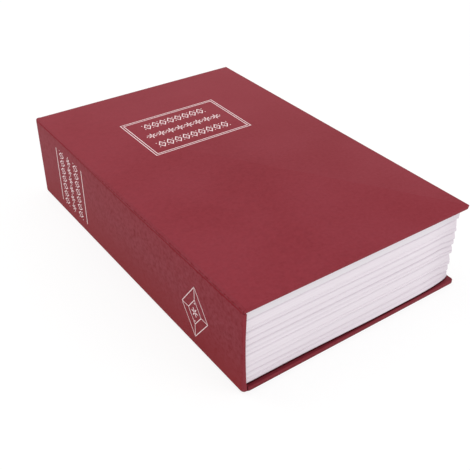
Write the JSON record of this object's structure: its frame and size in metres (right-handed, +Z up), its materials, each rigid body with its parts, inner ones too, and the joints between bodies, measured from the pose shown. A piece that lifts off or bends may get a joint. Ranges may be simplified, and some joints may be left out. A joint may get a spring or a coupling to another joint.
{
  "type": "combination safe",
  "caption": "Book-shaped safe: a hinged hardback case around a moulded page block that holds a steel box with a hinged lid and a number-wheel lock.",
  "frame": {"origin": "middle of the underside of the back cover, with the book lying shut on it", "axes": "+X from the spine to the fore edge, +Y from the tail of the book to its head, +Z up through the front cover"},
  "size_m": [0.118, 0.18, 0.042],
  "materials": {
    "greyboard": "grey bookbinder's board",
    "cover_paper": "fine-grained covering paper, low sheen",
    "lining_paper": "smooth lining paper, dark wine red",
    "page_plastic": "moulded to look like the edges of pages",
    "black_steel": "black powder coat",
    "zinc_steel": "zinc plated",
    "spring_steel": "spring steel",
    "zinc_casting": "satin plated die casting",
    "wheel_plastic": "moulded, with filled numerals",
    "brass": "turned"
  },
  "bodies": {
    "case": {"back_board": "greyboard", "spine_board": "greyboard", "case_wrap": "cover_paper", "back_lining": "lining_paper", "page_frame": "page_plastic", "steel_box": "black_steel", "strike_plate": "zinc_steel", "box_hinge_leaf": "zinc_steel", "hinge_pin": "zinc_steel", "box_rivets": "zinc_steel"},
    "cover": {"front_board": "greyboard", "front_wrap": "cover_paper", "front_lining": "lining_paper"},
    "lid": {"lid_panel": "black_steel", "lid_hinge_leaf": "zinc_steel", "lid_rivets": "zinc_steel", "lock_housing": "zinc_casting", "lock_plate": "zinc_steel", "detent_spring": "spring_steel", "face_screws": "zinc_steel", "plate_screws": "zinc_steel"},
    "wheel_1": {"number_wheel_1": "wheel_plastic"},
    "wheel_2": {"number_wheel_2": "wheel_plastic"},
    "wheel_3": {"number_wheel_3": "wheel_plastic"},
    "axle": {"lock_axle": "zinc_steel", "reset_lever": "zinc_steel"},
    "sleeve_1": {"code_sleeve_1": "brass"},
    "sleeve_2": {"code_sleeve_2": "brass"},
    "sleeve_3": {"code_sleeve_3": "brass"},
    "bolt": {"bolt_plate": "zinc_steel", "thumb_slider": "zinc_casting", "slider_rivet": "zinc_steel"}
  },
  "joints": [
    {"name": "cover_hinge", "type": "hinge", "parent": "case", "child": "cover", "pos_m": [-0.059, 0, 0.042], "axis": [0, -1, 0], "range_deg": [0, 200]},
    {"name": "lid_hinge", "type": "hinge", "parent": "case", "child": "lid", "pos_m": [-0.05155, 0, 0.0325], "axis": [0, -1, 0], "range_deg": [0, 100]},
    {"name": "wheel_1_turn", "type": "hinge", "parent": "lid", "child": "wheel_1", "pos_m": [0.02247, 0, 0.0323], "axis": [0, 1, 0], "continuous": true},
    {"name": "wheel_2_turn", "type": "hinge", "parent": "lid", "child": "wheel_2", "pos_m": [0.02247, 0, 0.0323], "axis": [0, 1, 0], "continuous": true},
    {"name": "wheel_3_turn", "type": "hinge", "parent": "lid", "child": "wheel_3", "pos_m": [0.02247, 0, 0.0323], "axis": [0, 1, 0], "continuous": true},
    {"name": "reset_slide", "type": "slide", "parent": "lid", "child": "axle", "axis": [0, 1, 0], "range_m": [0, 0.0012]},
    {"name": "sleeve_1_turn", "type": "hinge", "parent": "axle", "child": "sleeve_1", "pos_m": [0.02247, 0, 0.0323], "axis": [0, 1, 0], "continuous": true},
    {"name": "sleeve_2_turn", "type": "hinge", "parent": "axle", "child": "sleeve_2", "pos_m": [0.02247, 0, 0.0323], "axis": [0, 1, 0], "continuous": true},
    {"name": "sleeve_3_turn", "type": "hinge", "parent": "axle", "child": "sleeve_3", "pos_m": [0.02247, 0, 0.0323], "axis": [0, 1, 0], "continuous": true},
    {"name": "bolt_slide", "type": "slide", "parent": "lid", "child": "bolt", "axis": [1, 0, 0], "range_m": [0, 0.0065]}
  ],
  "couplings": [
    {"joint": "lid_hinge", "follows": "cover_hinge", "ratio": 0.5},
    {"joint": "sleeve_1_turn", "follows": "wheel_1_turn", "ratio": 1},
    {"joint": "sleeve_2_turn", "follows": "wheel_2_turn", "ratio": 1},
    {"joint": "sleeve_3_turn", "follows": "wheel_3_turn", "ratio": 1}
  ]
}
